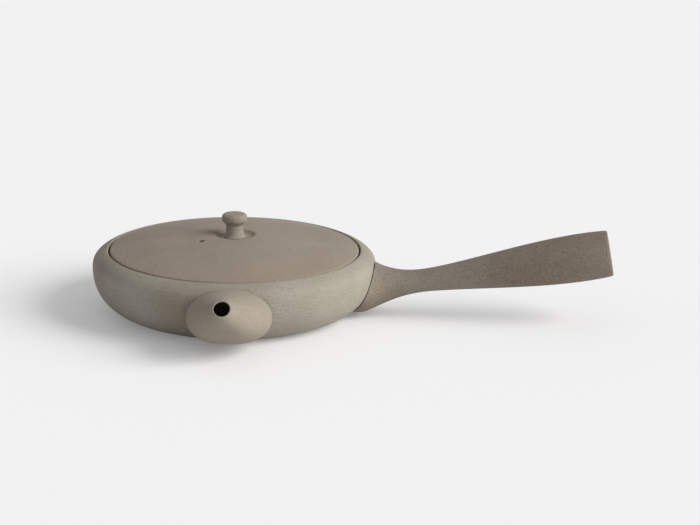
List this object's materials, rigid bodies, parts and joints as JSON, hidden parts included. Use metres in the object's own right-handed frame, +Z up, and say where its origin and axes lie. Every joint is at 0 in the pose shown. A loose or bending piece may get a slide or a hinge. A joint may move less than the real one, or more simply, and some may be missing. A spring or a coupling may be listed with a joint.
{
  "type": "side-handled teapot",
  "caption": "Flat unglazed stoneware teapot with a hollow side handle, a short front spout, a pierced strainer behind it and a flush domed lid that lifts off by its knob.",
  "frame": {"origin": "centre of the flat foot, on the table", "axes": "+X towards the handle, -Y towards the spout, +Z up out of the lid"},
  "size_m": [0.2269, 0.1503, 0.0435],
  "materials": {
    "bowl_clay": "matte unglazed",
    "spout_clay": "matte unglazed",
    "handle_clay": "matte unglazed",
    "strainer_clay": "matte unglazed",
    "lid_clay": "matte unglazed",
    "knob_clay": "matte unglazed"
  },
  "bodies": {
    "pot": {"bowl": "bowl_clay", "spout": "spout_clay", "handle": "handle_clay", "strainer": "strainer_clay"},
    "lid": {"lid": "lid_clay", "knob": "knob_clay"}
  },
  "joints": [
    {"name": "lid_lift", "type": "slide", "parent": "pot", "child": "lid", "axis": [0, 0, 1], "range_m": [0, 0.06]}
  ]
}
